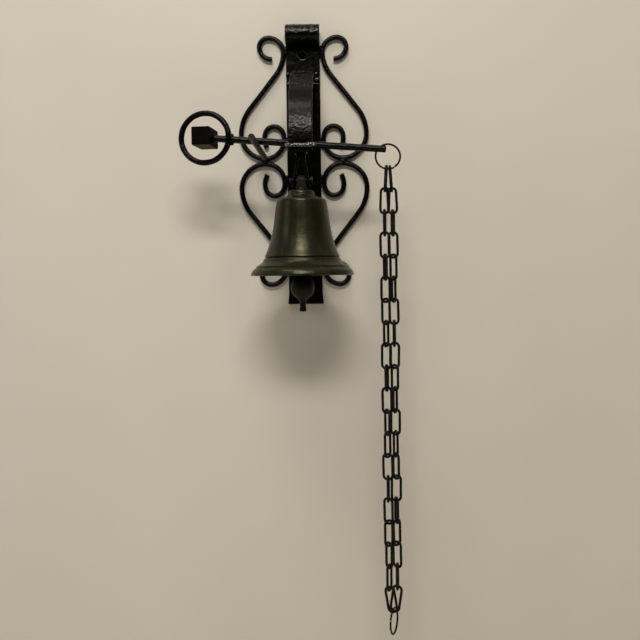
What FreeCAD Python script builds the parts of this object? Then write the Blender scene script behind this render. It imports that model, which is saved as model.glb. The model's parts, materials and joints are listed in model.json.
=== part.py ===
import FreeCAD, Part
import math
import os

# Wall mounted bell on a wrought iron scroll bracket. A lever pivots inside the bracket's arm, with a
# counterweight in a ring at its left end and a double pull chain at its right end. The bell hangs from
# the lever's hub and a clapper hangs inside the bell.
#
# Millimetres. +Z is up, +X is right seen from the front, and -Y points out of the wall. The origin is
# the centre of the two wall screw holes, on the wall face. "Out" is a distance from the wall face.

# Back plate: flat bar with its top end rolled forward into a curl
PLATE_WIDTH = 40.0
PLATE_THICKNESS = 5.0
PLATE_BOTTOM = -157.0
PLATE_FLARE_HEIGHT = 14.0
PLATE_FLARE_WIDTH = 42.0
CURL_RADIUS = 12.0
CURL_CENTRE_Z = 160.0
CURL_END_ANGLE = -100.0
SCREW_SPACING = 276.0
SCREW_HOLE_RADIUS = 2.75
COUNTERSINK_RADIUS = 5.25
COUNTERSINK_DEPTH = 2.5

# Arm: narrower flat bar, a quarter circle from the plate out and down to the pivot
ARM_WIDTH = 26.0
ARM_THICKNESS = 5.0
ARM_RADIUS = 95.0
ARM_CENTRE_Z = 20.0
ARM_END_Z = 10.5

# Scrolls: four bent round bars, mirrored left to right and about the junction height
SCROLL_RADIUS = 3.0
JUNCTION_X = 46.0
JUNCTION_Z = 12.8
SCROLL_START = (36.25, 120.9)
SCROLL_HEADING = -3.0
# Each step is a turn in degrees, positive to the left, and its radius. A turn of 0 is a straight run.
SCROLL_STEPS = [(94, 14.5), (93, 11.0), (90, 18.0), (34, 47.0), (0, 50.0),
                (-36, 50.0), (-88, 29.0), (-118, 22.4), (-140, 11.0), (-46, 22.0)]

# Peg that the lever rests on
PEG_RADIUS = 3.25
PEG_REACH = 161.0

# Lever and its pivot
PIVOT_Z = 18.0
LEVER_OUT = 86.0
LEVER_SLOPE = 4.3
LEVER_RISE = 1.75
LEVER_RADIUS = 3.8
LEVER_RIGHT_LENGTH = 93.0
LEVER_LEFT_LENGTH = 104.6
LEVER_TIP_CHAMFER = 0.8
PIN_RADIUS = 4.0
HUB_RADIUS = 8.0
HUB_LENGTH = 14.0
HUB_BORE_RADIUS = 4.05
HUB_END_GAP = 0.25
WASHER_RADIUS = 7.0
WASHER_THICKNESS = 1.4
COLLAR_RADIUS = 7.0
COLLAR_LENGTH = 8.0
SET_SCREW_RADIUS = 1.5
REST_GAP = 0.3

# Counterweight: square bar standing in a ring at the lever's left end
BLOCK_SIDE = 19.8
BLOCK_LENGTH = 35.0
BLOCK_YAW = -7.6
WEIGHT_RING_RADIUS = 26.9
WEIGHT_RING_WIRE = 3.15
WEIGHT_RING_YAW = -10.0

# Clevis under the hub and the pin that carries the bell
CLEVIS_PIN_Z = -20.0
CLEVIS_PIN_RADIUS = 2.5
CLEVIS_BOTTOM = -26.5
CLEVIS_TOP = 11.5
CLEVIS_WEB_HEIGHT = 7.5
CLEVIS_DEPTH = 11.0
CLEVIS_LEG_THICKNESS = 3.0
CLEVIS_TOP_HALF_GAP = 1.9
CLEVIS_BOTTOM_HALF_GAP = 7.0
CLEVIS_HEAD_RADIUS = 4.5
CLEVIS_HEAD_LENGTH = 2.6
SPLIT_PIN_RADIUS = 0.8

# Bell: heights are below the origin, the radii are about the bell's own vertical axis
BELL_TOP = -30.8
CROWN_INSIDE = -43.5
BELL_MOUTH = -123.4
POST_BORE_RADIUS = 4.2
WAIST = [(27.3, -43.4), (28.8, -53.0), (30.5, -67.0), (33.2, -81.0), (37.2, -94.2), (41.0, -102.9)]
INSIDE = [(51.2, -123.4), (46.6, -114.0), (38.6, -105.0), (34.0, -94.0), (29.9, -81.0), (27.3, -67.0),
          (25.6, -53.0), (24.6, -47.5)]

# Bell post: the lug on top, its shank through the crown, and the eye nut below the crown
LUG_HALF_TOP = 3.65
LUG_HALF_BASE = 5.5
LUG_EYE_RADIUS = 6.0
LUG_BORE_RADIUS = 2.55
LUG_COLLAR_RADIUS = 6.6
LUG_COLLAR_HEIGHT = 1.4
SHANK_RADIUS = 4.0
SHANK_END = -49.5
CROWN_WASHER_RADIUS = 9.0
CROWN_WASHER_THICKNESS = 1.5
NUT_ACROSS_FLATS = 13.0
NUT_HEIGHT = 6.0
EYE_RADIUS = 4.5
EYE_WIRE = 1.5

# Clapper
CLAPPER_EYE_RADIUS = 3.7
CLAPPER_EYE_WIRE = 1.3
CLAPPER_STEM_RADIUS = 2.5
CLAPPER_STEM_END = -129.0
BOB_TOP = (3.4, -116.0)
BOB_PEAR = [(3.4, -116.0), (6.2, -121.0), (11.2, -128.5), (13.0, -137.0), (10.4, -144.6), (5.6, -148.9),
            (3.7, -151.6)]
BOB_TAIL_WAIST = (3.2, -156.5)
BOB_TAIL_END = (3.9, -161.4)
BOB_BOTTOM = -162.4

# Pull chain: two strands of twenty oval links between a ring in the lever and a pull ring
RING_RADIUS = 13.5
RING_WIRE = 1.0
RING_HOLE_GAP = 0.45
RING_SLIT = 0.5
TOP_RING_X = 94.6
TOP_RING_Z = 4.9
LINK_WIRE = 1.4
LINK_PITCH = 24.08
LINK_GAP = 0.4
LINK_HALF_WIDTH = 4.9
STRAND_OUT = 1.45
STRAND_AT_TOP_RING = 1.9
STRAND_BELOW_TOP_RING = 3.6
STRAND_SPREAD = 4.5
STRAND_AT_PULL_RING = 1.0
PULL_RING_HEADING = 70.0
PULL_RING_GAP = 0.6
# How far each link is turned about the vertical, in degrees. At 0 its oval faces the front.
LEFT_HEADINGS = [-87, -22, 80, -15, -77, 22, -39, 60, -18, 73, 12, -66, 52, -12, 82, -33, 34, -57, 61,
                 -20]
RIGHT_HEADINGS = [-90, -18, 73, 11, -53, 65, -22, 80, 12, -51, 65, -22, 62, -57, 5, -77, 42, -38, 80,
                  -24]

# Welds: overlapping drops of metal
WELD_PITCH = 0.75

WAY_OUT = FreeCAD.Vector(0, -1, 0)
UP = FreeCAD.Vector(0, 0, 1)
RIGHT = FreeCAD.Vector(1, 0, 0)


def at(x, out, z):
    """Point at a distance out from the wall face."""
    return FreeCAD.Vector(x, -out, z)


def rod(start, end, radius):
    """Round bar between two points."""
    along = end - start
    return Part.makeCylinder(radius, along.Length, start, along)


def block(low, high):
    """Box between two points given as (x, out, z), in any order of corners."""
    corner = [min(a, b) for a, b in zip(low, high)]
    size = [abs(a - b) for a, b in zip(low, high)]
    return Part.makeBox(size[0], size[1], size[2], at(corner[0], corner[1] + size[1], corner[2]))


def turned(shape, centre, axis, degrees):
    """Copy of a shape turned about an axis through a point."""
    copy = shape.copy()
    copy.rotate(centre, axis, degrees)
    return copy


def strap(edges, width):
    """Flat bar whose side view is the closed outline of the edges, centred on X = 0."""
    side = Part.Face(Part.Wire(edges))
    side.translate(FreeCAD.Vector(-width / 2, 0, 0))
    return side.extrude(FreeCAD.Vector(width, 0, 0))


def side_arc(out, z, radius, start, end):
    """Arc in the side view. An angle of 0 is straight out of the wall and 90 is up."""
    angles = [math.radians(a) for a in (start, (start + end) / 2, end)]
    ends = [at(0, out + radius * math.cos(a), z + radius * math.sin(a)) for a in angles]
    return Part.Arc(*ends).toShape()


def line(start, end):
    return Part.LineSegment(start, end).toShape()


def polygon(points):
    """Closed chain of straight edges."""
    return [line(a, b) for a, b in zip(points, points[1:] + points[:1])]


def swept(path, radius, along):
    """Round bar bent along a wire that starts in the direction along."""
    first = path.OrderedVertexes[0].Point
    section = Part.Wire([Part.Circle(first, along, radius).toShape()])
    return path.makePipeShell([section], True, False)


def lathe(profile, out):
    """Solid of revolution. The profile lies at Y = 0 with its axis on Z, and is moved out of the wall."""
    solid = Part.Face(Part.Wire(profile)).revolve(FreeCAD.Vector(0, 0, 0), UP, 360)
    solid.translate(at(0, out, 0))
    return solid


def radial(points):
    return [FreeCAD.Vector(r, 0, z) for r, z in points]


def spline(points):
    curve = Part.BSplineCurve()
    curve.interpolate(radial(points))
    return curve.toShape()


def radial_line(start, end):
    return line(*radial([start, end]))


def radial_arc(start, middle, end):
    return Part.Arc(*radial([start, middle, end])).toShape()


def weld(start, end, radius):
    """Row of overlapping weld drops from start to end."""
    run = end - start
    count = max(1, math.ceil(run.Length / (radius * WELD_PITCH)))
    drops = [Part.makeSphere(radius, start + run * (i / count)) for i in range(count + 1)]
    return drops[0].fuse(drops[1:]).removeSplitter() if run.Length else drops[0]


def ring_weld(centre, axis, ring_radius, radius):
    """Weld bead around a round bar."""
    return Part.makeTorus(ring_radius, radius, centre, axis)


def compound(shapes):
    """One group of separate solids."""
    return Part.makeCompound([solid for shape in shapes for solid in shape.Solids])


# --- bracket ---------------------------------------------------------------------------------------

def back_plate():
    inner = CURL_RADIUS - PLATE_THICKNESS
    tip = math.radians(CURL_END_ANGLE)
    outer_tip = at(0, CURL_RADIUS * (1 + math.cos(tip)), CURL_CENTRE_Z + CURL_RADIUS * math.sin(tip))
    inner_tip = at(0, CURL_RADIUS + inner * math.cos(tip), CURL_CENTRE_Z + inner * math.sin(tip))
    edges = [
        line(at(0, 0, PLATE_BOTTOM), at(0, 0, CURL_CENTRE_Z)),
        side_arc(CURL_RADIUS, CURL_CENTRE_Z, CURL_RADIUS, 180, CURL_END_ANGLE),
        line(outer_tip, inner_tip),
        side_arc(CURL_RADIUS, CURL_CENTRE_Z, inner, CURL_END_ANGLE, 180),
        line(at(0, PLATE_THICKNESS, CURL_CENTRE_Z), at(0, PLATE_THICKNESS, PLATE_BOTTOM)),
        line(at(0, PLATE_THICKNESS, PLATE_BOTTOM), at(0, 0, PLATE_BOTTOM)),
    ]
    plate = strap(edges, PLATE_WIDTH).fuse(plate_flare()).removeSplitter()
    for z in (-SCREW_SPACING / 2, SCREW_SPACING / 2):
        plate = plate.cut(rod(at(0, -1, z), at(0, PLATE_THICKNESS + 1, z), SCREW_HOLE_RADIUS))
        sink = Part.makeCone(SCREW_HOLE_RADIUS, COUNTERSINK_RADIUS, COUNTERSINK_DEPTH,
                             at(0, PLATE_THICKNESS - COUNTERSINK_DEPTH, z), WAY_OUT)
        plate = plate.cut(sink)
    return plate


def plate_flare():
    """The plate's lower end, drawn a little wider."""
    half = PLATE_WIDTH / 2
    flare = PLATE_FLARE_WIDTH / 2
    top = PLATE_BOTTOM + PLATE_FLARE_HEIGHT
    face = Part.Face(Part.Wire(polygon([
        at(-half, 0, top), at(half, 0, top), at(flare, 0, PLATE_BOTTOM), at(-flare, 0, PLATE_BOTTOM)])))
    return face.extrude(WAY_OUT * PLATE_THICKNESS)


def bracket_arm():
    inner = ARM_RADIUS - ARM_THICKNESS
    root = PLATE_THICKNESS
    outer_out = root + ARM_RADIUS
    inner_out = root + inner
    edges = [
        side_arc(root, ARM_CENTRE_Z, ARM_RADIUS, 90, 0),
        line(at(0, outer_out, ARM_CENTRE_Z), at(0, outer_out, ARM_END_Z)),
        line(at(0, outer_out, ARM_END_Z), at(0, inner_out, ARM_END_Z)),
        line(at(0, inner_out, ARM_END_Z), at(0, inner_out, ARM_CENTRE_Z)),
        side_arc(root, ARM_CENTRE_Z, inner, 0, 90),
        line(at(0, root, ARM_CENTRE_Z + inner), at(0, root, ARM_CENTRE_Z + ARM_RADIUS)),
    ]
    return strap(edges, ARM_WIDTH).cut(pivot_pin())


def scroll(side, lift):
    """One bent scroll bar: side is -1 for left, lift is -1 for the lower pair."""
    def place(u, v):
        return at(side * u, SCROLL_RADIUS, JUNCTION_Z + lift * v)

    u, v = SCROLL_START
    heading = math.radians(SCROLL_HEADING)
    first_way = FreeCAD.Vector(side * math.cos(heading), 0, lift * math.sin(heading))
    edges = []
    for turn, size in SCROLL_STEPS:
        angle = math.radians(turn)
        if turn == 0:
            next_u = u + size * math.cos(heading)
            next_v = v + size * math.sin(heading)
            edges.append(line(place(u, v), place(next_u, next_v)))
            u, v = next_u, next_v
            continue
        hand = math.copysign(size, turn)
        centre_u = u - hand * math.sin(heading)
        centre_v = v + hand * math.cos(heading)
        spots = [place(u, v)]
        for part in (0.5, 1.0):
            way = heading + part * angle
            u = centre_u + hand * math.sin(way)
            v = centre_v - hand * math.cos(way)
            spots.append(place(u, v))
        edges.append(Part.Arc(*spots).toShape())
        heading += angle
    return swept(Part.Wire(edges), SCROLL_RADIUS, first_way)


def peg_height():
    """The peg's centre height, so that the lever lies on it with the rest gap."""
    slope = math.radians(LEVER_SLOPE)
    underside = lever_middle().z + JUNCTION_X * math.tan(slope) - LEVER_RADIUS / math.cos(slope)
    return underside - REST_GAP - PEG_RADIUS


def rest_peg(scrolls):
    peg = rod(at(-JUNCTION_X, SCROLL_RADIUS, peg_height()), at(-JUNCTION_X, PEG_REACH, peg_height()),
              PEG_RADIUS)
    return biggest(peg.cut(scrolls))


def biggest(shape):
    """The largest solid of a cut, without the offcuts."""
    return max(shape.Solids, key=lambda solid: solid.Volume)


def pivot_pin():
    return rod(at(0, PLATE_THICKNESS, PIVOT_Z), at(0, PLATE_THICKNESS + ARM_RADIUS, PIVOT_Z), PIN_RADIUS)


def pin_sleeve(start_out, length, radius, bore):
    """Round sleeve on the pivot pin."""
    start = at(0, start_out, PIVOT_Z)
    end = at(0, start_out + length, PIVOT_Z)
    return rod(start, end, radius).cut(rod(start, end, bore))


def hub_ends():
    return LEVER_OUT - HUB_LENGTH / 2, LEVER_OUT + HUB_LENGTH / 2


def pivot_washer():
    return pin_sleeve(hub_ends()[1] + HUB_END_GAP, WASHER_THICKNESS, WASHER_RADIUS, PIN_RADIUS)


def collar_start():
    return hub_ends()[0] - HUB_END_GAP - COLLAR_LENGTH


def set_screw():
    middle = collar_start() + COLLAR_LENGTH / 2
    return rod(at(0, middle, PIVOT_Z + PIN_RADIUS), at(0, middle, PIVOT_Z + COLLAR_RADIUS + 1.5),
               SET_SCREW_RADIUS)


def pivot_collar():
    return pin_sleeve(collar_start(), COLLAR_LENGTH, COLLAR_RADIUS, PIN_RADIUS).cut(set_screw())


def bracket_welds(neighbours):
    """Arm to plate, pin to plate, arm end, scrolls to plate, scroll to scroll, and peg."""
    half_arm = ARM_WIDTH / 2
    root_z = ARM_CENTRE_Z + ARM_RADIUS
    front = PLATE_THICKNESS + ARM_RADIUS
    beads = [
        weld(at(2 - half_arm, PLATE_THICKNESS + 1.5, root_z + 0.5),
             at(half_arm - 2, PLATE_THICKNESS + 1.5, root_z + 0.5), 4.2),
        weld(at(2.4 - half_arm, front + 0.3, ARM_END_Z + 2.6),
             at(half_arm - 2.4, front + 0.3, ARM_END_Z + 3.6), 4.3),
        ring_weld(at(0, PLATE_THICKNESS, PIVOT_Z), WAY_OUT, PIN_RADIUS, 1.6),
        weld(at(-JUNCTION_X, 2 * SCROLL_RADIUS - 0.8, JUNCTION_Z - 0.4),
             at(-JUNCTION_X, 2 * SCROLL_RADIUS + 0.4, JUNCTION_Z + 1.5), 3.9),
        weld(at(JUNCTION_X - 1.5, SCROLL_RADIUS + 1, JUNCTION_Z), at(JUNCTION_X + 1.5, SCROLL_RADIUS + 1,
             JUNCTION_Z), 3.0),
    ]
    for side in (-1, 1):
        for height in (130.8, 22.0):
            for lift in (-1, 1):
                z = JUNCTION_Z + lift * height
                x = side * (PLATE_WIDTH / 2 + 0.3)
                beads.append(weld(at(x, 3.6, z - 2.5), at(x, 3.6, z + 2.5), 3.0))
    return compound([bead.cut(neighbours) for bead in beads])


# --- lever -----------------------------------------------------------------------------------------

def lever_middle():
    """Where the line of the two rods crosses the pivot's vertical, a little above the pivot."""
    return at(0, LEVER_OUT, PIVOT_Z + LEVER_RISE)


def lever_way():
    slope = math.radians(LEVER_SLOPE)
    return FreeCAD.Vector(math.cos(slope), 0, -math.sin(slope))


def weight_centre():
    return lever_middle() - lever_way() * LEVER_LEFT_LENGTH


def hub_blank():
    near, far = hub_ends()
    return rod(at(0, near, PIVOT_Z), at(0, far, PIVOT_Z), HUB_RADIUS)


def lever_hub():
    near, far = hub_ends()
    return hub_blank().cut(rod(at(0, near, PIVOT_Z), at(0, far, PIVOT_Z), HUB_BORE_RADIUS))


def lever_rod_right():
    tip = lever_middle() + lever_way() * LEVER_RIGHT_LENGTH
    chamfer_start = tip - lever_way() * LEVER_TIP_CHAMFER
    bar = rod(lever_middle(), chamfer_start, LEVER_RADIUS)
    nose = Part.makeCone(LEVER_RADIUS, LEVER_RADIUS - LEVER_TIP_CHAMFER, LEVER_TIP_CHAMFER, chamfer_start,
                         lever_way())
    ring_hole = Part.makeTorus(RING_RADIUS, RING_WIRE + RING_HOLE_GAP, top_ring_centre(), WAY_OUT)
    return bar.fuse(nose).removeSplitter().cut([hub_blank(), ring_hole])


def lever_rod_left():
    bar = rod(lever_middle(), weight_centre(), LEVER_RADIUS)
    return biggest(bar.cut([hub_blank(), counterweight_block()]))


def counterweight_block():
    centre = weight_centre()
    half = BLOCK_SIDE / 2
    near = LEVER_OUT - BLOCK_LENGTH / 2
    bar = block((centre.x - half, near, centre.z - half), (centre.x + half, near + BLOCK_LENGTH,
                centre.z + half))
    bar = bar.makeChamfer(0.6, bar.Edges)
    return turned(bar, centre, UP, BLOCK_YAW)


def counterweight_ring():
    ring = Part.makeTorus(WEIGHT_RING_RADIUS, WEIGHT_RING_WIRE, weight_centre(), WAY_OUT)
    return biggest(turned(ring, weight_centre(), UP, WEIGHT_RING_YAW).cut(
        rod(lever_middle(), weight_centre(), LEVER_RADIUS)))


def clevis_leg(side):
    """One leg, splayed outwards downwards, with its pin hole."""
    half = CLEVIS_DEPTH / 2
    top_in = side * CLEVIS_TOP_HALF_GAP
    top_out = side * (CLEVIS_TOP_HALF_GAP + CLEVIS_LEG_THICKNESS)
    bottom_in = side * CLEVIS_BOTTOM_HALF_GAP
    bottom_out = side * (CLEVIS_BOTTOM_HALF_GAP + CLEVIS_LEG_THICKNESS)
    near = LEVER_OUT - half
    top = CLEVIS_TOP - CLEVIS_WEB_HEIGHT
    outline = [at(top_in, near, top), at(top_out, near, top), at(bottom_out, near, CLEVIS_BOTTOM),
               at(bottom_in, near, CLEVIS_BOTTOM)]
    leg = Part.Face(Part.Wire(polygon(outline))).extrude(WAY_OUT * CLEVIS_DEPTH)
    return leg


def bell_clevis():
    half_web = CLEVIS_TOP_HALF_GAP + CLEVIS_LEG_THICKNESS
    half_depth = CLEVIS_DEPTH / 2
    web = block((-half_web, LEVER_OUT - half_depth, CLEVIS_TOP - CLEVIS_WEB_HEIGHT),
                (half_web, LEVER_OUT + half_depth, CLEVIS_TOP))
    clevis = web.fuse([clevis_leg(-1), clevis_leg(1)]).removeSplitter()
    return clevis.cut([hub_blank(), clevis_pin()])


def clevis_reach():
    """Half the distance over the clevis at the lowest point of the pin's head."""
    height = CLEVIS_TOP - CLEVIS_WEB_HEIGHT - CLEVIS_BOTTOM
    drop = CLEVIS_TOP - CLEVIS_WEB_HEIGHT - CLEVIS_PIN_Z + CLEVIS_HEAD_RADIUS
    splay = (CLEVIS_BOTTOM_HALF_GAP - CLEVIS_TOP_HALF_GAP) / height
    return CLEVIS_TOP_HALF_GAP + CLEVIS_LEG_THICKNESS + splay * drop


def clevis_pin():
    reach = clevis_reach()
    shank = rod(at(-reach - 3.5, LEVER_OUT, CLEVIS_PIN_Z), at(reach, LEVER_OUT, CLEVIS_PIN_Z),
                CLEVIS_PIN_RADIUS)
    head = rod(at(reach, LEVER_OUT, CLEVIS_PIN_Z), at(reach + CLEVIS_HEAD_LENGTH, LEVER_OUT, CLEVIS_PIN_Z),
               CLEVIS_HEAD_RADIUS)
    return shank.fuse(head).removeSplitter().cut(split_pin())


def split_pin():
    """Split pin across the clevis pin's free end, with its eye in front."""
    x = -clevis_reach() - 1.6
    bar = rod(at(x, LEVER_OUT - 6, CLEVIS_PIN_Z), at(x, LEVER_OUT + 4.5, CLEVIS_PIN_Z), SPLIT_PIN_RADIUS)
    eye = Part.makeTorus(1.7, SPLIT_PIN_RADIUS, at(x, LEVER_OUT + 5.8, CLEVIS_PIN_Z), RIGHT)
    return bar.fuse(eye).removeSplitter()


def lever_welds(neighbours):
    """Both rods to the hub, the clevis to the hub, the ring to its rod, and the rod to the block."""
    way = lever_way()
    centre = weight_centre()
    beads = []
    for side in (-1, 1):
        beads.append(ring_weld(lever_middle() + way * (side * HUB_RADIUS), way, LEVER_RADIUS, 1.6))
        x = side * (CLEVIS_TOP_HALF_GAP + CLEVIS_LEG_THICKNESS)
        beads.append(weld(at(x, LEVER_OUT - 4, CLEVIS_TOP - 1.5), at(x, LEVER_OUT + 4, CLEVIS_TOP - 1.5),
                          1.8))
        joint = centre + way * WEIGHT_RING_RADIUS + FreeCAD.Vector(0, 0, side * (LEVER_RADIUS + 0.4))
        beads.append(weld(joint - way * 2.2, joint + way * 2.6, 2.3))
    beads.append(ring_weld(centre + way * (BLOCK_SIDE / 2 + 0.2), way, LEVER_RADIUS, 1.2))
    return compound([bead.cut(neighbours) for bead in beads])


# --- bell ------------------------------------------------------------------------------------------

def bell_shell():
    profile = [
        radial_line((POST_BORE_RADIUS, CROWN_INSIDE), (POST_BORE_RADIUS, BELL_TOP)),
        radial_line((POST_BORE_RADIUS, BELL_TOP), (11.0, BELL_TOP)),
        radial_arc((11.0, BELL_TOP), (13.4, -31.8), (14.3, -34.2)),
        radial_arc((14.3, -34.2), (14.7, -36.2), (16.4, -37.4)),
        radial_line((16.4, -37.4), (24.4, -40.4)),
        radial_arc((24.4, -40.4), (26.5, -41.6), WAIST[0]),
        spline(WAIST),
    ]
    profile += rim_mouldings()
    profile += [
        spline(INSIDE),
        radial_arc(INSIDE[-1], (23.3, -44.9), (20.6, CROWN_INSIDE)),
        radial_line((20.6, CROWN_INSIDE), (POST_BORE_RADIUS, CROWN_INSIDE)),
    ]
    return lathe(profile, LEVER_OUT)


def rim_mouldings():
    """Profile from the waist's foot to the mouth: a groove, a flaring band, a groove and the lip."""
    return [
        radial_arc(WAIST[-1], (40.2, -103.9), (41.3, -104.8)),
        radial_arc((41.3, -104.8), (44.0, -109.4), (50.2, -113.3)),
        radial_arc((50.2, -113.3), (49.9, -114.3), (50.7, -114.9)),
        radial_arc((50.7, -114.9), (54.2, -117.9), (56.0, -121.8)),
        radial_arc((56.0, -121.8), (55.9, -122.9), (54.9, BELL_MOUTH)),
        radial_line((54.9, BELL_MOUTH), INSIDE[0]),
    ]


def bell_post():
    """Lug with the pin hole, collar and threaded shank in one piece."""
    foot = BELL_TOP + LUG_COLLAR_HEIGHT
    crest = CLEVIS_PIN_Z + LUG_EYE_RADIUS
    front = Part.Face(Part.Wire(polygon([
        at(-LUG_HALF_TOP, 0, crest), at(LUG_HALF_TOP, 0, crest), at(LUG_HALF_BASE, 0, foot),
        at(-LUG_HALF_BASE, 0, foot)]))).extrude(WAY_OUT * (2 * LEVER_OUT))
    half = LUG_EYE_RADIUS
    tab = block((-half, LEVER_OUT - half, foot), (half, LEVER_OUT + half, CLEVIS_PIN_Z))
    eye = rod(at(-half, LEVER_OUT, CLEVIS_PIN_Z), at(half, LEVER_OUT, CLEVIS_PIN_Z), LUG_EYE_RADIUS)
    lug = tab.fuse(eye).common(front)
    collar = rod(at(0, LEVER_OUT, BELL_TOP), at(0, LEVER_OUT, foot), LUG_COLLAR_RADIUS)
    shank = rod(at(0, LEVER_OUT, SHANK_END), at(0, LEVER_OUT, BELL_TOP), SHANK_RADIUS)
    bore = rod(at(-half, LEVER_OUT, CLEVIS_PIN_Z), at(half, LEVER_OUT, CLEVIS_PIN_Z), LUG_BORE_RADIUS)
    return lug.fuse([collar, shank]).removeSplitter().cut(bore)


def crown_washer():
    top = at(0, LEVER_OUT, CROWN_INSIDE)
    foot = at(0, LEVER_OUT, CROWN_INSIDE - CROWN_WASHER_THICKNESS)
    return rod(foot, top, CROWN_WASHER_RADIUS).cut(rod(foot, top, SHANK_RADIUS))


def nut_top():
    return CROWN_INSIDE - CROWN_WASHER_THICKNESS


def eye_centre_z():
    return nut_top() - NUT_HEIGHT - EYE_RADIUS - EYE_WIRE + 1.0


def eye_nut():
    """Six-sided nut under the crown with a closed eye below it, whose plane crosses the lever."""
    corner = NUT_ACROSS_FLATS / math.sqrt(3)
    corners = []
    for i in range(6):
        turn = math.radians(60 * i)
        corners.append(at(corner * math.cos(turn), LEVER_OUT + corner * math.sin(turn),
                          nut_top() - NUT_HEIGHT))
    nut = Part.Face(Part.Wire(polygon(corners))).extrude(UP * NUT_HEIGHT)
    eye = Part.makeTorus(EYE_RADIUS, EYE_WIRE, at(0, LEVER_OUT, eye_centre_z()), RIGHT)
    shank = rod(at(0, LEVER_OUT, SHANK_END), at(0, LEVER_OUT, nut_top()), SHANK_RADIUS)
    return nut.fuse(eye).removeSplitter().cut(shank)


# --- clapper ---------------------------------------------------------------------------------------

def clapper_pivot_z():
    return eye_centre_z() - EYE_RADIUS


def clapper_stem():
    top = clapper_pivot_z()
    eye = Part.makeTorus(CLAPPER_EYE_RADIUS, CLAPPER_EYE_WIRE, at(0, LEVER_OUT, top), WAY_OUT)
    bar = rod(at(0, LEVER_OUT, CLAPPER_STEM_END), at(0, LEVER_OUT, top - CLAPPER_EYE_RADIUS),
              CLAPPER_STEM_RADIUS)
    return eye.fuse(bar).removeSplitter()


def clapper_bob():
    """Pear with a tail, screwed on the stem."""
    profile = [
        radial_line((CLAPPER_STEM_RADIUS, CLAPPER_STEM_END), (CLAPPER_STEM_RADIUS, BOB_TOP[1])),
        radial_line((CLAPPER_STEM_RADIUS, BOB_TOP[1]), BOB_TOP),
        spline(BOB_PEAR),
        spline([BOB_PEAR[-1], BOB_TAIL_WAIST, BOB_TAIL_END]),
        radial_line(BOB_TAIL_END, (BOB_TAIL_END[0] - 1.0, BOB_BOTTOM)),
        radial_line((BOB_TAIL_END[0] - 1.0, BOB_BOTTOM), (0, BOB_BOTTOM)),
        radial_line((0, BOB_BOTTOM), (0, CLAPPER_STEM_END)),
        radial_line((0, CLAPPER_STEM_END), (CLAPPER_STEM_RADIUS, CLAPPER_STEM_END)),
    ]
    return lathe(profile, LEVER_OUT)


# --- pull chain ------------------------------------------------------------------------------------

def top_ring_centre():
    return at(TOP_RING_X, LEVER_OUT, TOP_RING_Z)


def wire_ring(centre, heading, slit_angle):
    """Ring of round wire whose two ends nearly meet. Its plane is turned about the vertical."""
    ring = Part.makeTorus(RING_RADIUS, RING_WIRE, centre, WAY_OUT)
    slit = block((-RING_SLIT / 2, -2 * RING_WIRE, RING_RADIUS - 2), (RING_SLIT / 2, 2 * RING_WIRE,
                 RING_RADIUS + 2))
    slit = turned(slit, FreeCAD.Vector(), WAY_OUT, slit_angle)
    slit.translate(centre)
    return turned(ring.cut(slit), centre, UP, heading)


def strand_spread(joint):
    """Distance of each strand from the chain's middle at a joint, counted from 0 at the top ring."""
    ends = {0: STRAND_AT_TOP_RING, 1: STRAND_BELOW_TOP_RING, link_count(): STRAND_AT_PULL_RING}
    return ends.get(joint, STRAND_SPREAD)


def link_count():
    return len(LEFT_HEADINGS)


def joint_heights():
    """Heights at which the links meet, from the top ring down."""
    drop = math.sqrt(RING_RADIUS ** 2 - STRAND_AT_TOP_RING ** 2)
    heights = [TOP_RING_Z - drop + RING_WIRE + LINK_GAP / 2]
    for joint in range(1, link_count() + 1):
        shift = strand_spread(joint) - strand_spread(joint - 1)
        heights.append(heights[-1] - math.sqrt(LINK_PITCH ** 2 - shift ** 2))
    return heights


def strand_point(side, joint):
    """Where the links above and below a joint touch, on the strand at one side."""
    forward = 0 if joint == 0 else -side * STRAND_OUT
    return at(TOP_RING_X + side * strand_spread(joint), LEVER_OUT + forward, joint_heights()[joint])


def oval_link():
    """One link about the origin: two straight sides and two half circles, facing the front."""
    side = (LINK_PITCH + 2 * LINK_WIRE + LINK_GAP) / 2 - LINK_HALF_WIDTH
    width = LINK_HALF_WIDTH
    edges = [
        line(at(width, 0, -side), at(width, 0, side)),
        Part.Arc(at(width, 0, side), at(0, 0, side + width), at(-width, 0, side)).toShape(),
        line(at(-width, 0, side), at(-width, 0, -side)),
        Part.Arc(at(-width, 0, -side), at(0, 0, -side - width), at(width, 0, -side)).toShape(),
    ]
    return swept(Part.Wire(edges), LINK_WIRE, UP)


def chain_links(level):
    """The left and right link of one level, counted from 1 at the top."""
    links = []
    for side, headings in ((-1, LEFT_HEADINGS), (1, RIGHT_HEADINGS)):
        top = strand_point(side, level - 1)
        foot = strand_point(side, level)
        link = turned(oval_link(), FreeCAD.Vector(), UP, headings[level - 1])
        lean = FreeCAD.Rotation(UP, top - foot)
        link.Placement = FreeCAD.Placement((top + foot) * 0.5, lean).multiply(link.Placement)
        links.append(link)
    return compound(links)


def pull_ring():
    last = joint_heights()[link_count()]
    centre = at(TOP_RING_X, LEVER_OUT, last + PULL_RING_GAP + RING_WIRE - RING_RADIUS)
    return wire_ring(centre, PULL_RING_HEADING, 160)


# --- assembly --------------------------------------------------------------------------------------

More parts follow.
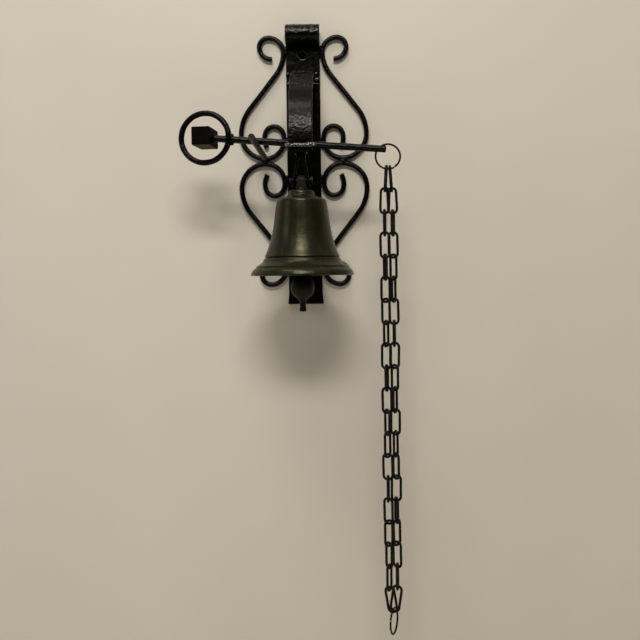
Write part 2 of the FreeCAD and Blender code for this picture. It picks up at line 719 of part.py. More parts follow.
def bracket_nodes():
    nodes = {"back_plate": back_plate(), "bracket_arm": bracket_arm()}
    scrolls = []
    for level, lift in (("upper", 1), ("lower", -1)):
        for hand, side in (("left", -1), ("right", 1)):
            bar = scroll(side, lift)
            nodes["scroll_" + level + "_" + hand] = bar
            scrolls.append(bar)
    nodes["rest_peg"] = rest_peg(scrolls)
    nodes["pivot_pin"] = pivot_pin()
    nodes["pivot_washer"] = pivot_washer()
    nodes["pivot_collar"] = pivot_collar()
    nodes["set_screw"] = set_screw()
    nodes["bracket_welds"] = bracket_welds(list(nodes.values()))
    return nodes


def lever_nodes():
    nodes = {
        "lever_hub": lever_hub(),
        "lever_rod_left": lever_rod_left(),
        "lever_rod_right": lever_rod_right(),
        "counterweight_ring": counterweight_ring(),
        "counterweight_block": counterweight_block(),
        "bell_clevis": bell_clevis(),
    }
    nodes["lever_welds"] = lever_welds(list(nodes.values()) + [pivot_pin()])
    nodes["clevis_pin"] = clevis_pin()
    nodes["split_pin"] = split_pin()
    return nodes


def bell_nodes():
    return {
        "bell_shell": bell_shell(),
        "bell_post": bell_post(),
        "crown_washer": crown_washer(),
        "eye_nut": eye_nut(),
        "clapper_stem": clapper_stem(),
        "clapper_bob": clapper_bob(),
    }


def chain_nodes():
    nodes = {"top_ring": wire_ring(top_ring_centre(), 0, -60)}
    for level in range(1, link_count() + 1):
        nodes["chain_links_%02d" % level] = chain_links(level)
    nodes["pull_ring"] = pull_ring()
    return nodes


def main():
    os.makedirs("parts", exist_ok=True)
    for group in (bracket_nodes(), lever_nodes(), bell_nodes(), chain_nodes()):
        for name, shape in group.items():
            shape.exportStep("parts/" + name + ".step")
            print(name, len(shape.Solids), round(shape.Volume, 1), shape.isValid())


main()
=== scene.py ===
import json
import math
import random

import bmesh
import bpy
import numpy
from mathutils import Euler, Matrix, Vector, noise

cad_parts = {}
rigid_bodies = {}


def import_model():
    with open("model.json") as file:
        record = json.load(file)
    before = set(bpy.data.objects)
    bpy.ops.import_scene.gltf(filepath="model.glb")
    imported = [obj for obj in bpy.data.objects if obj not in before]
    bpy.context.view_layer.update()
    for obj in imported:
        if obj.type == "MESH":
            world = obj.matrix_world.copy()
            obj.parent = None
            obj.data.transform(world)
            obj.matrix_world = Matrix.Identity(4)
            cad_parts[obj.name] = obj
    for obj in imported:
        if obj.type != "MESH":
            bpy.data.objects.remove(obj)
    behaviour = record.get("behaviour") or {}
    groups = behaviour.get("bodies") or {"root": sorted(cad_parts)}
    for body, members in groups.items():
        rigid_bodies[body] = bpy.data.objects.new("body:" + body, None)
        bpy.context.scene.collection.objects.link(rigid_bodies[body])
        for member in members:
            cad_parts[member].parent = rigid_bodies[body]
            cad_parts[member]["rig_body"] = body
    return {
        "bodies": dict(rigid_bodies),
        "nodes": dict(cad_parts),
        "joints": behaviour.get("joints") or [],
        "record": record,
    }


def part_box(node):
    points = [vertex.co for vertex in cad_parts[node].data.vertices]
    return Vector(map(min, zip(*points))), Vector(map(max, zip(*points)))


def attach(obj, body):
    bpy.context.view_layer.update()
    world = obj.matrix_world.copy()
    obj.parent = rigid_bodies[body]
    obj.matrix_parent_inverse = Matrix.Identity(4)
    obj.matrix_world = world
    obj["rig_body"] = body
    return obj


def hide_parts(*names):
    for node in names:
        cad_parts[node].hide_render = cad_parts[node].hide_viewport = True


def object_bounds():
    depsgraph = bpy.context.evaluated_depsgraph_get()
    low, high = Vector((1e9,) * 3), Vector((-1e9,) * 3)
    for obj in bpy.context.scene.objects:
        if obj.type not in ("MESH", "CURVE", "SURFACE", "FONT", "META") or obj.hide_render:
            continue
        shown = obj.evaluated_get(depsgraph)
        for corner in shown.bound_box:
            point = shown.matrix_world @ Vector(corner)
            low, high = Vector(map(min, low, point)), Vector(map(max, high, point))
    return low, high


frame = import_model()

# Looks of the wall mounted bell. Metres, in the CAD's frame: +X right, +Z up, -Y out of the wall.

MM = 0.001
ON_AXIS = 1e-6  # a profile point with a smaller radius, in millimetres, lies on the axis
cad_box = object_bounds()

# Places, all read from the frame
AXIS_Y = next(joint["pos_m"][1] for joint in frame["joints"] if joint["name"] == "bell_swing")
SCREWS = next(mount for mount in frame["record"]["mounts"] if mount["name"] == "wall_screws")
SCREW_HEIGHT = SCREWS["dims"]["spacing_y_mm"] / 2 * MM
CHAIN_BODIES = sorted(name for name in frame["bodies"] if name.startswith("chain_links_"))


# --- small tools -------------------------------------------------------------------------------

def piece(name, mesh, body, material, nodes):
    """A new piece in the row frame that rides on a body and stands for CAD nodes."""
    thing = bpy.data.objects.new(name, mesh)
    bpy.context.scene.collection.objects.link(thing)
    mesh.materials.clear()
    mesh.materials.append(material)
    mesh.shade_smooth()
    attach(thing, body)
    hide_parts(*nodes)


def body_of(node):
    return frame["nodes"][node]["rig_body"]


def remeshed(node, voxel, smoothing):
    """Even, softened copy of a CAD node's mesh."""
    copy = bpy.data.objects.new("remesh_copy", frame["nodes"][node].data.copy())
    bpy.context.scene.collection.objects.link(copy)
    remesh = copy.modifiers.new("remesh", "REMESH")
    remesh.mode = "VOXEL"
    remesh.voxel_size = voxel
    smooth = copy.modifiers.new("smooth", "SMOOTH")
    smooth.factor = 0.5
    smooth.iterations = smoothing
    evaluated = copy.evaluated_get(bpy.context.evaluated_depsgraph_get())
    mesh = bpy.data.meshes.new_from_object(evaluated)
    bpy.data.objects.remove(copy)
    return mesh


def rough_surface(mesh, layers, seed, share=None):
    """Moves every vertex along its normal. Each layer is a depth and the size of its bumps.

    share says how much of it each place gets, from 0 to 1.
    """
    shift = Vector((seed * 7.3, seed * 3.1, seed * 5.7))
    normals = [v.normal.copy() for v in mesh.vertices]
    for vertex, normal in zip(mesh.vertices, normals):
        part = share(vertex.co) if share else 1.0
        if part > 0:
            depth = sum(amount * noise.noise(vertex.co / size + shift) for amount, size in layers)
            vertex.co += normal * depth * part
    mesh.update()


def between(value, low, high, soft):
    """1 between low and high, fading to 0 over soft on both sides."""
    return max(0.0, min(1.0, (value - low) / soft + 1, (high - value) / soft + 1))


def forged(node, voxel, layers, material, smoothing, seed):
    """Piece that stands for one CAD node, with softened edges and an uneven surface."""
    mesh = remeshed(node, voxel, smoothing)
    rough_surface(mesh, layers, seed)
    piece(node + "_forged", mesh, body_of(node), material, [node])


def catmull(points, step):
    """Smooth run through points, with a point about every step. Two points make a straight run."""
    path = [Vector(p) for p in points]
    ends = [path[0] * 2 - path[1]] + path + [path[-1] * 2 - path[-2]]
    out = []
    for i in range(1, len(ends) - 2):
        a, b, c, d = ends[i - 1:i + 3]
        count = max(2, math.ceil((c - b).length / step))
        for k in range(count):
            t = k / count
            out.append(0.5 * (2 * b + (c - a) * t + (2 * a - 5 * b + 4 * c - d) * t * t
                              + (3 * b - a - 3 * c + d) * t ** 3))
    return out + [path[-1]]


def finished(made, name):
    """The mesh that a bmesh was made for, with its faces turned outwards."""
    bmesh.ops.recalc_face_normals(made, faces=made.faces)
    mesh = bpy.data.meshes.new(name)
    made.to_mesh(mesh)
    made.free()
    return mesh


def in_pairs(rings, closed):
    """Each ring with the next one, and the last with the first if they close."""
    return list(zip(rings, rings[1:] + rings[:1])) if closed else list(zip(rings, rings[1:]))


def lathed(runs, step, turns, centre):
    """Mesh of revolution. Its profile is smooth runs of (radius, height) in millimetres, end to end."""
    profile = []
    for run in runs:
        profile += catmull(run, step)[:-1]
    closed = Vector(runs[0][0]) == Vector(runs[-1][-1])
    if not closed:
        profile.append(Vector(runs[-1][-1]))
    made = bmesh.new()
    rings = []
    for point in profile:
        if point.x < ON_AXIS:
            rings.append([made.verts.new(centre + Vector((0, 0, point.y * MM)))])
            continue
        ring = []
        for i in range(turns):
            angle = 2 * math.pi * i / turns
            place = Vector((point.x * math.cos(angle), point.x * math.sin(angle), point.y)) * MM
            ring.append(made.verts.new(centre + place))
        rings.append(ring)
    for low, high in in_pairs(rings, closed):
        for i in range(turns):
            k = (i + 1) % turns
            corners = [low[i % len(low)], low[k % len(low)], high[k % len(high)], high[i % len(high)]]
            corners = list(dict.fromkeys(corners))
            if len(corners) > 2:
                made.faces.new(corners)
    return finished(made, "lathed")


def wire(made, path, radii, normal, closed, sides=14):
    """Adds a bent round wire to a bmesh. The path lies in a plane with this normal."""
    count = len(path)
    rings = []
    for i, point in enumerate(path):
        before = path[(i - 1) % count] if closed or i else point
        after = path[(i + 1) % count] if closed or i < count - 1 else point
        along = (after - before).normalized()
        side = along.cross(normal).normalized()
        ring = []
        for k in range(sides):
            angle = 2 * math.pi * k / sides
            out = side * math.cos(angle) + normal * math.sin(angle)
            ring.append(made.verts.new(point + out * radii[i]))
        rings.append(ring)
    for low, high in in_pairs(rings, closed):
        for k in range(sides):
            n = (k + 1) % sides
            made.faces.new([low[k], low[n], high[n], high[k]])
    if not closed:
        made.faces.new(rings[0])
        made.faces.new(rings[-1])


# --- materials ---------------------------------------------------------------------------------

class Material:
    """A Principled material with helpers for object-space textures."""

    def __init__(self, name, roughness=0.5, metallic=0.0, specular=0.5):
        self.material = bpy.data.materials.new(name)
        self.material.use_nodes = True
        self.nodes = self.material.node_tree.nodes
        self.links = self.material.node_tree.links
        self.shader = self.nodes["Principled BSDF"]
        self.shader.inputs["Roughness"].default_value = roughness
        self.shader.inputs["Metallic"].default_value = metallic
        self.shader.inputs["Specular IOR Level"].default_value = specular
        self.place = self.nodes.new("ShaderNodeTexCoord").outputs["Object"]
        self.bump_normal = None

    def stretched(self, scale):
        mapping = self.nodes.new("ShaderNodeMapping")
        mapping.inputs["Scale"].default_value = scale
        self.links.new(self.place, mapping.inputs["Vector"])
        return mapping.outputs["Vector"]

    def noise(self, size, detail=3.0, roughness=0.55, stretch=None, distortion=0.0):
        """Noise whose features are about size metres across."""
        made = self.nodes.new("ShaderNodeTexNoise")
        made.inputs["Scale"].default_value = 1 / size
        made.inputs["Detail"].default_value = detail
        made.inputs["Roughness"].default_value = roughness
        made.inputs["Distortion"].default_value = distortion
        source = self.stretched(stretch) if stretch else self.place
        self.links.new(source, made.inputs["Vector"])
        return made.outputs["Fac"]

    def cells(self, size, smooth=0.6):
        """Hammer marks about size metres across."""
        made = self.nodes.new("ShaderNodeTexVoronoi")
        made.feature = "SMOOTH_F1"
        made.inputs["Scale"].default_value = 1 / size
        made.inputs["Smoothness"].default_value = smooth
        self.links.new(self.place, made.inputs["Vector"])
        return made.outputs["Distance"]

    def ramp(self, source, stops):
        """Colours along a source. Each stop is its place and its colour."""
        made = self.nodes.new("ShaderNodeValToRGB")
        elements = made.color_ramp.elements
        while len(elements) < len(stops):
            elements.new(0.5)
        for element, (position, color) in zip(elements, stops):
            element.position = position
            element.color = (*color, 1)
        self.links.new(source, made.inputs["Fac"])
        return made.outputs["Color"]

    def span(self, source, low, high, to_low, to_high):
        """The source's stretch from low to high, moved to another stretch."""
        made = self.nodes.new("ShaderNodeMapRange")
        values = {"From Min": low, "From Max": high, "To Min": to_low, "To Max": to_high}
        for name, value in values.items():
            made.inputs[name].default_value = value
        self.links.new(source, made.inputs["Value"])
        return made.outputs["Result"]

    def mix(self, factor, first, second):
        """The first colour's source where factor is 0, and the second colour where it is 1."""
        made = self.nodes.new("ShaderNodeMix")
        made.data_type = "RGBA"
        color_inputs = [socket for socket in made.inputs if socket.type == "RGBA"]
        self.links.new(factor, made.inputs["Factor"])
        self.links.new(first, color_inputs[0])
        color_inputs[1].default_value = (*second, 1)
        return next(socket for socket in made.outputs if socket.type == "RGBA")

    def times(self, first, second):
        made = self.nodes.new("ShaderNodeMath")
        made.operation = "MULTIPLY"
        self.links.new(first, made.inputs[0])
        self.links.new(second, made.inputs[1])
        return made.outputs[0]

    def normal_part(self, axis):
        """One component of the surface's own normal."""
        split = self.nodes.new("ShaderNodeSeparateXYZ")
        geometry = self.nodes.new("ShaderNodeNewGeometry")
        self.links.new(geometry.outputs["Normal"], split.inputs["Vector"])
        return split.outputs[axis]

    def bump(self, height, depth):
        """Relief of this depth in metres, on top of any relief before it."""
        made = self.nodes.new("ShaderNodeBump")
        made.inputs["Strength"].default_value = 1.0
        made.inputs["Distance"].default_value = depth
        self.links.new(height, made.inputs["Height"])
        if self.bump_normal:
            self.links.new(self.bump_normal, made.inputs["Normal"])
        self.bump_normal = made.outputs["Normal"]

    def set(self, name, source):
        self.links.new(source, self.shader.inputs[name])

    def done(self):
        if self.bump_normal:
            self.set("Normal", self.bump_normal)
        return self.material


def black_iron_paint():
    """Satin black brushed by hand over hammered iron."""
    m = Material("black_iron_paint", specular=0.2)
    m.set("Base Color", m.ramp(m.noise(0.022, 4), [
        (0.3, (0.0008, 0.0008, 0.0007)),
        (0.55, (0.0016, 0.0016, 0.0013)),
        (0.75, (0.003, 0.0027, 0.0021))]))
    m.set("Roughness", m.span(m.noise(0.006, 3), 0.3, 0.7, 0.15, 0.26))
    m.bump(m.cells(0.007), 0.0001)
    m.bump(m.noise(0.0022, 4, 0.6), 0.00005)
    m.bump(m.noise(0.0011, 2, stretch=(1, 1, 0.15)), 0.00003)
    return m.done()


def arm_paint():
    """Black on the arm: brushed lengthways, with a fine cellular surface where it was hammered."""
    m = Material("arm_paint", specular=0.14)
    m.set("Base Color", m.ramp(m.noise(0.018, 4), [
        (0.3, (0.001, 0.001, 0.0008)), (0.7, (0.003, 0.0029, 0.0021))]))
    height = m.nodes.new("ShaderNodeSeparateXYZ")
    m.links.new(m.place, height.inputs["Vector"])
    hammered = m.span(height.outputs["Z"], 36 * MM, 62 * MM, 1.0, 0.0)
    m.set("Roughness", m.span(m.noise(0.005, 3), 0.3, 0.7, 0.19, 0.28))
    m.bump(m.times(m.cells(0.0026, 0.4), hammered), 0.00022)
    m.bump(m.noise(0.0008, 3, 0.6, stretch=(1, 0.08, 0.08)), 0.00006)
    m.bump(m.noise(0.0016, 3, 0.6), 0.00004)
    return m.done()


def black_rod_paint():
    """Satin black on smooth round bar, with brush marks and small runs."""
    m = Material("black_rod_paint", specular=0.18)
    m.set("Base Color", m.ramp(m.noise(0.015, 4), [
        (0.35, (0.0008, 0.0008, 0.0008)), (0.7, (0.002, 0.0019, 0.0014))]))
    m.set("Roughness", m.span(m.noise(0.004, 3), 0.3, 0.7, 0.15, 0.30))
    m.bump(m.noise(0.005, 3), 0.0006)
    m.bump(m.noise(0.0014, 3, 0.6), 0.00022)
    return m.done()


def weld_paint():
    """Thick glossy black over the lumpy weld at the arm's end."""
    m = Material("weld_paint", specular=1.0)
    m.set("Base Color", m.ramp(m.noise(0.004, 3), [
        (0.4, (0.003, 0.003, 0.0027)), (0.7, (0.008, 0.007, 0.006))]))
    m.set("Roughness", m.span(m.noise(0.002, 3), 0.3, 0.7, 0.06, 0.14))
    m.shader.inputs["Coat Weight"].default_value = 1.0
    m.shader.inputs["Coat Roughness"].default_value = 0.05
    m.bump(m.noise(0.0022, 2, 0.5), 0.0005)
    return m.done()


def worn_block_paint():
    """Flat brown black, rubbed pale under the weight."""
    m = Material("worn_block_paint", specular=0.05)
    below = m.span(m.normal_part("Z"), -0.9, -0.6, 1.0, 0.0)
    patchy = m.span(m.noise(0.004, 5, 0.7), 0.42, 0.58, 0.0, 1.0)
    dark = m.ramp(m.noise(0.006, 4), [(0.35, (0.0014, 0.0013, 0.0009)), (0.7, (0.003, 0.0025, 0.0016))])
    m.set("Base Color", m.mix(m.times(below, patchy), dark, (0.11, 0.10, 0.072)))
    m.set("Roughness", m.span(m.noise(0.003, 3), 0.3, 0.7, 0.48, 0.72))
    m.bump(m.noise(0.0025, 4, 0.6), 0.00035)
    return m.done()


def brown_iron():
    """Peg: thin black over brown bare iron."""
    m = Material("brown_iron")
    m.set("Base Color", m.ramp(m.noise(0.005, 4), [
        (0.35, (0.006, 0.005, 0.004)), (0.6, (0.016, 0.010, 0.008)), (0.8, (0.040, 0.022, 0.018))]))
    m.set("Roughness", m.span(m.noise(0.003, 3), 0.3, 0.7, 0.42, 0.65))
    m.bump(m.noise(0.0018, 4, 0.6), 0.0004)
    return m.done()


def aged_brass():
    """Bell: dark olive patina with soft upright streaks and fine turning marks."""
    m = Material("aged_brass", metallic=0.72)
    streaks = m.noise(0.006, 5, 0.6, stretch=(1, 1, 0.12))
    tones = m.ramp(streaks, [
        (0.25, (0.013, 0.0115, 0.0045)), (0.5, (0.026, 0.023, 0.009)), (0.75, (0.044, 0.039, 0.016))])
    spots = m.span(m.noise(0.003, 6, 0.7), 0.62, 0.72, 0.0, 1.0)
    m.set("Base Color", m.mix(spots, tones, (0.022, 0.016, 0.008)))
    m.set("Roughness", m.span(m.noise(0.012, 5, 0.6), 0.3, 0.7, 0.25, 0.38))
    m.bump(m.noise(0.0009, 2, stretch=(0.05, 0.05, 1)), 0.00003)
    m.bump(m.noise(0.0035, 4, 0.6), 0.00012)
    return m.done()


def cast_brass():
    """Clapper and post: rougher and darker than the bell."""
    m = Material("cast_brass", metallic=0.75)
    m.set("Base Color", m.ramp(m.noise(0.007, 5), [
        (0.3, (0.007, 0.008, 0.004)), (0.6, (0.016, 0.017, 0.009)), (0.8, (0.030, 0.030, 0.017))]))
    m.set("Roughness", m.span(m.noise(0.004, 4), 0.3, 0.7, 0.4, 0.62))
    m.bump(m.noise(0.0015, 4, 0.6), 0.00035)
    return m.done()


def dark_wire():
    """Chain and rings: dull dark wire, brown in places."""
    m = Material("dark_wire", metallic=0.1, specular=0.18)
    m.set("Base Color", m.ramp(m.noise(0.006, 4), [
        (0.35, (0.003, 0.0028, 0.0025)), (0.6, (0.007, 0.006, 0.005)), (0.8, (0.022, 0.014, 0.009))]))
    m.set("Roughness", m.span(m.noise(0.002, 3), 0.3, 0.7, 0.36, 0.6))
    m.bump(m.noise(0.0008, 3, 0.6), 0.00012)
    return m.done()


def dark_steel():
    """Pins, washers, nut and stem: darkened machined steel."""
    m = Material("dark_steel_oiled", metallic=0.6, specular=0.3)
    m.set("Base Color", m.ramp(m.noise(0.004, 4), [
        (0.35, (0.006, 0.0055, 0.005)), (0.7, (0.020, 0.018, 0.015))]))
    m.set("Roughness", m.span(m.noise(0.002, 3), 0.3, 0.7, 0.34, 0.55))
    m.bump(m.noise(0.0009, 3), 0.00008)
    return m.done()


IRON = black_iron_paint()
ARM = arm_paint()
ROD = black_rod_paint()
WELD = weld_paint()
BLOCK = worn_block_paint()
PEG = brown_iron()
BRASS = aged_brass()
CAST = cast_brass()
WIRE = dark_wire()
STEEL = dark_steel()


# --- bracket and lever -------------------------------------------------------------------------

# Zones of the bracket, each as its lowest and highest z
CURL_ZONE = (153 * MM, 200 * MM)
SPATTER_ZONE = (103 * MM, 116 * MM)
ROOT_ZONE = (88 * MM, 130 * MM)
HAMMERED_ZONE = (32 * MM, 50 * MM)
PLATE_FRONT_Y = -4 * MM
ARM_END_Y = -94 * MM


def plate():
    """Back plate, with a rough curl on top and weld spatter beside the arm's root."""
    mesh = remeshed("back_plate", 0.9 * MM, 2)
    rough_surface(mesh, [(0.25 * MM, 14 * MM), (0.10 * MM, 4 * MM)], 1)

    def beside_root(place):
        return between(place.z, *SPATTER_ZONE, 3 * MM) * (place.y < PLATE_FRONT_Y)

    def curl(place):
        return between(place.z, *CURL_ZONE, 4 * MM)

    rough_surface(mesh, [(0.7 * MM, 4 * MM), (0.3 * MM, 1.8 * MM)], 31, beside_root)
    rough_surface(mesh, [(0.45 * MM, 3.4 * MM), (0.25 * MM, 1.6 * MM)], 35, curl)
    piece("back_plate_forged", mesh, "bracket", IRON, ["back_plate"])


def arm():
    """Arm: lumpy from welding at its root, then smooth, then hammered."""
    def root(place):
        return between(place.z, *ROOT_ZONE, 3 * MM)

    def hammered(place):
        return between(place.z, *HAMMERED_ZONE, 12 * MM)

    mesh = remeshed("bracket_arm", 0.6 * MM, 2)
    rough_surface(mesh, [(0.10 * MM, 16 * MM), (0.04 * MM, 5 * MM)], 2)
    rough_surface(mesh, [(1.1 * MM, 4.5 * MM), (0.5 * MM, 2 * MM)], 32, root)
    rough_surface(mesh, [(0.14 * MM, 3 * MM)], 33, hammered)
    piece("bracket_arm_forged", mesh, "bracket", ARM, ["bracket_arm"])


DROPS = 7
DROP_PITCH = 4.0
DROP_TILT = Euler((math.radians(-18), 0, 0))
DROP_SIZE = Vector((2.9, 1.7, 2.0)) * MM


def with_drops(mesh, middle):
    """Adds the round drops that stand out of the weld along the arm's end."""
    chance = random.Random(8)
    made = bmesh.new()
    made.from_mesh(mesh)
    for i in range(DROPS):
        aside = (i - DROPS // 2) * DROP_PITCH + chance.uniform(-0.6, 0.6)
        spot = middle + Vector((aside, -0.9, chance.uniform(-0.3, 0.5))) * MM
        shape = Matrix.LocRotScale(spot, DROP_TILT, DROP_SIZE)
        bmesh.ops.create_icosphere(made, subdivisions=3, radius=chance.uniform(0.85, 1.1), matrix=shape)
    return finished(made, "bracket_welds_run")


def bracket_beads():
    """Welds of the bracket. The one along the arm's end is a narrow, glossy run, drawn out and up."""
    run_from = Vector((0, -100.3, 13.1)) * MM
    run_to = Vector((0, -103.6, 15.9)) * MM
    wider = 1.12
    deeper = 0.58
    taller = 0.52
    lean = 0.45
    mesh = remeshed("bracket_welds", 0.45 * MM, 2)
    for vertex in mesh.vertices:
        if vertex.co.y < ARM_END_Y:
            away = vertex.co - run_from
            rise = away.z * taller
            vertex.co = Vector((away.x * wider, run_to.y + away.y * deeper + rise * lean, run_to.z + rise))
    mesh.update()
    rough_surface(mesh, [(0.6 * MM, 2.6 * MM), (0.15 * MM, 1.2 * MM)], 9)
    rough_surface(mesh, [(1.5 * MM, 3.6 * MM)], 34, lambda at: at.y < ARM_END_Y)
    mesh = with_drops(mesh, run_to)
    piece("bracket_welds_run", mesh, "bracket", ARM, ["bracket_welds"])
    mesh.materials.append(WELD)
    for face in mesh.polygons:
        face.material_index = int(face.center.y < ARM_END_Y)


def bracket():
    plate()
    arm()
    bracket_beads()
    for seed, node in enumerate(sorted(n for n in frame["nodes"] if n.startswith("scroll_"))):
        forged(node, 0.6 * MM, [(0.22 * MM, 10 * MM), (0.08 * MM, 3 * MM)], ROD, 3, 3 + seed)
    forged("rest_peg", 0.5 * MM, [(0.15 * MM, 6 * MM), (0.08 * MM, 2 * MM)], PEG, 2, 8)


def lever():
    for seed, node in enumerate(("lever_rod_left", "lever_rod_right")):
        forged(node, 0.5 * MM, [(0.15 * MM, 9 * MM), (0.06 * MM, 2.5 * MM)], ROD, 2, 11 + seed)
    forged("counterweight_ring", 0.5 * MM, [(0.2 * MM, 8 * MM), (0.08 * MM, 2.5 * MM)], ROD, 3, 13)
    forged("counterweight_block", 0.6 * MM, [(0.12 * MM, 7 * MM), (0.05 * MM, 2 * MM)], BLOCK, 1, 14)
    forged("lever_hub", 0.5 * MM, [(0.06 * MM, 3 * MM)], IRON, 1, 15)
    forged("bell_clevis", 0.45 * MM, [(0.1 * MM, 5 * MM)], IRON, 2, 16)
    forged("lever_welds", 0.4 * MM, [(0.5 * MM, 2.6 * MM), (0.2 * MM, 1.1 * MM)], IRON, 2, 17)


def plain_fittings():
    """CAD nodes whose shape is right: they only get their material."""
    finishes = {"pivot_pin": IRON, "pivot_washer": STEEL, "pivot_collar": STEEL, "set_screw": STEEL,
                "clevis_pin": STEEL, "split_pin": STEEL, "crown_washer": STEEL, "eye_nut": STEEL,
                "clapper_stem": STEEL}
    for node, material in finishes.items():
        thing = frame["nodes"][node]
        thing.data.materials.clear()
        thing.data.materials.append(material)


# --- bell and clapper --------------------------------------------------------------------------

# Profiles as smooth runs of (radius, height) in millimetres. Where two runs meet is a corner.
BELL_RUNS = [
    [(4.2, -30.8), (11.0, -30.8)],
    [(11.0, -30.8), (13.4, -31.8), (14.3, -34.2)],
    [(14.3, -34.2), (14.7, -36.2), (16.4, -37.4)],
    [(16.4, -37.4), (24.4, -40.4)],
    [(24.4, -40.4), (26.5, -41.6), (27.3, -43.4)],
    [(27.3, -43.4), (28.8, -53.0), (30.5, -67.0), (33.2, -81.0), (37.2, -94.2), (41.0, -102.9)],
    [(41.0, -102.9), (40.2, -103.9), (41.3, -104.8)],
    [(41.3, -104.8), (44.0, -109.4), (50.2, -113.3)],
    [(50.2, -113.3), (49.9, -114.3), (50.7, -114.9)],
    [(50.7, -114.9), (54.2, -117.9), (56.0, -121.8)],
    [(56.0, -121.8), (55.9, -122.9), (54.9, -123.4)],
    [(54.9, -123.4), (51.2, -123.4)],
    [(51.2, -123.4), (46.6, -114.0), (38.6, -105.0), (34.0, -94.0), (29.9, -81.0), (27.3, -67.0),
     (25.6, -53.0), (24.6, -47.5)],
    [(24.6, -47.5), (23.3, -44.9), (20.6, -43.5)],
    [(20.6, -43.5), (4.2, -43.5)],
    [(4.2, -43.5), (4.2, -30.8)],
]
BOB_RUNS = [
    [(2.5, -129.0), (2.5, -116.0)],
    [(2.5, -116.0), (3.4, -116.0)],
    [(3.4, -116.0), (6.2, -121.0), (11.2, -128.5), (13.0, -137.0), (10.4, -144.6), (5.6, -148.9),
     (3.7, -151.6), (3.2, -156.5), (3.9, -161.4)],
    [(3.9, -161.4), (2.9, -162.4)],
    [(2.9, -162.4), (0, -162.4)],
]


DENT_HEIGHTS = (-113.2, -119.5, -122.3, -104.9)


def dented(mesh, dents, centre):
    """Small knocks: each one's angle round the bell, height in millimetres, size and depth."""
    for angle, height, size, depth in dents:
        out = Vector((math.cos(angle), math.sin(angle), 0))
        for vertex in mesh.vertices:
            flat = vertex.co - centre
            if flat.dot(out) < 0 or abs(flat.z - height * MM) > 2.5 * size:
                continue
            aside = flat.cross(out).z
            far = math.hypot(aside, flat.z - height * MM) / size
            vertex.co -= out * depth * math.exp(-far * far)
    mesh.update()


def bell():
    centre = Vector((0, AXIS_Y, 0))
    shell = lathed(BELL_RUNS, 0.9, 224, centre)
    chance = random.Random(5)
    dents = [(chance.uniform(-math.pi, math.pi), chance.choice(DENT_HEIGHTS),
              chance.uniform(0.8, 1.9) * MM, chance.uniform(0.2, 0.5) * MM) for _ in range(9)]
    dents.append((math.radians(-96), -114.2, 1.2 * MM, 0.7 * MM))
    dents.append((math.radians(-101), -122.6, 1.4 * MM, 0.6 * MM))
    dented(shell, dents, centre)
    rough_surface(shell, [(0.10 * MM, 16 * MM), (0.03 * MM, 4 * MM)], 21)
    shell.set_sharp_from_angle(angle=math.radians(50))
    piece("bell_shell_turned", shell, "bell", BRASS, ["bell_shell"])
    forged("bell_post", 0.45 * MM, [(0.10 * MM, 4 * MM), (0.05 * MM, 1.5 * MM)], CAST, 1, 22)

    bob = lathed(BOB_RUNS, 0.7, 96, centre)
    rough_surface(bob, [(0.25 * MM, 9 * MM), (0.08 * MM, 2.5 * MM)], 23)
    piece("clapper_bob_cast", bob, "clapper", CAST, ["clapper_bob"])


# --- pull chain --------------------------------------------------------------------------------

# Radii of the wire: of the links in the CAD model, and of the links and the rings here
CAD_WIRE = 1.40 * MM
LINK_WIRE = 1.43 * MM
RING_WIRE = 1.06 * MM
END_POWER = 2.3  # 2 would make a link's ends round, and more makes them squarer
# The wire where its cut ends meet: places along it in millimetres, and the share of its radius there
BUTT = ((-0.9, 1.0), (-0.45, 1.03), (-0.12, 0.98), (0.0, 0.86), (0.12, 0.98), (0.45, 1.03), (0.9, 1.0))


def islands(mesh):
    """The vertex positions of each separate part of a mesh, in the order of its vertices."""
    made = bmesh.new()
    made.from_mesh(mesh)
    bmesh.ops.remove_doubles(made, verts=made.verts, dist=0.01 * MM)
    made.verts.index_update()
    seen = set()
    found = []
    for first in made.verts:
        if first.index in seen:
            continue
        seen.add(first.index)
        group = []
        stack = [first]
        while stack:
            vertex = stack.pop()
            group.append(vertex.co.copy())
            for edge in vertex.link_edges:
                other = edge.other_vert(vertex)
                if other.index not in seen:
                    seen.add(other.index)
                    stack.append(other)
        found.append(group)
    made.free()
    return found


def principal_axes(points):
    """Centre, long axis, wide axis and half sizes of a flat, long part."""
    cloud = numpy.array(points)
    axes = numpy.linalg.eigh(numpy.cov((cloud - cloud.mean(0)).T))[1].T[::-1]
    lows = [(cloud @ axis).min() for axis in axes]
    highs = [(cloud @ axis).max() for axis in axes]
    middle = sum((low + high) / 2 * axis for low, high, axis in zip(lows, highs, axes))
    halves = [(high - low) / 2 for low, high in zip(lows, highs)]
    return Vector(middle), Vector(axes[0]), Vector(axes[1]), halves


def link_path(half_length, half_width, chance):
    """Closed outline of a link as (aside, along, wire radius), starting at the butt in its side."""
    straight = half_length - half_width
    seam = chance.uniform(-0.5, 0.5) * straight
    outline = []
    for along, radius in BUTT:
        outline.append((half_width, seam + along * MM, LINK_WIRE * radius))
    steps = 22
    for side in (1, -1):
        for i in range(steps + 1):
            angle = math.pi * i / steps
            x = math.cos(angle)
            y = math.sin(angle)
            reach = (abs(x) ** END_POWER + abs(y) ** END_POWER) ** (-1 / END_POWER)
            along = side * (straight + half_width * y * reach)
            outline.append((side * half_width * x * reach, along, LINK_WIRE))
        if side == 1:
            outline += [(-half_width, straight * k / 3, LINK_WIRE) for k in (2, 1, 0, -1, -2)]
    return outline


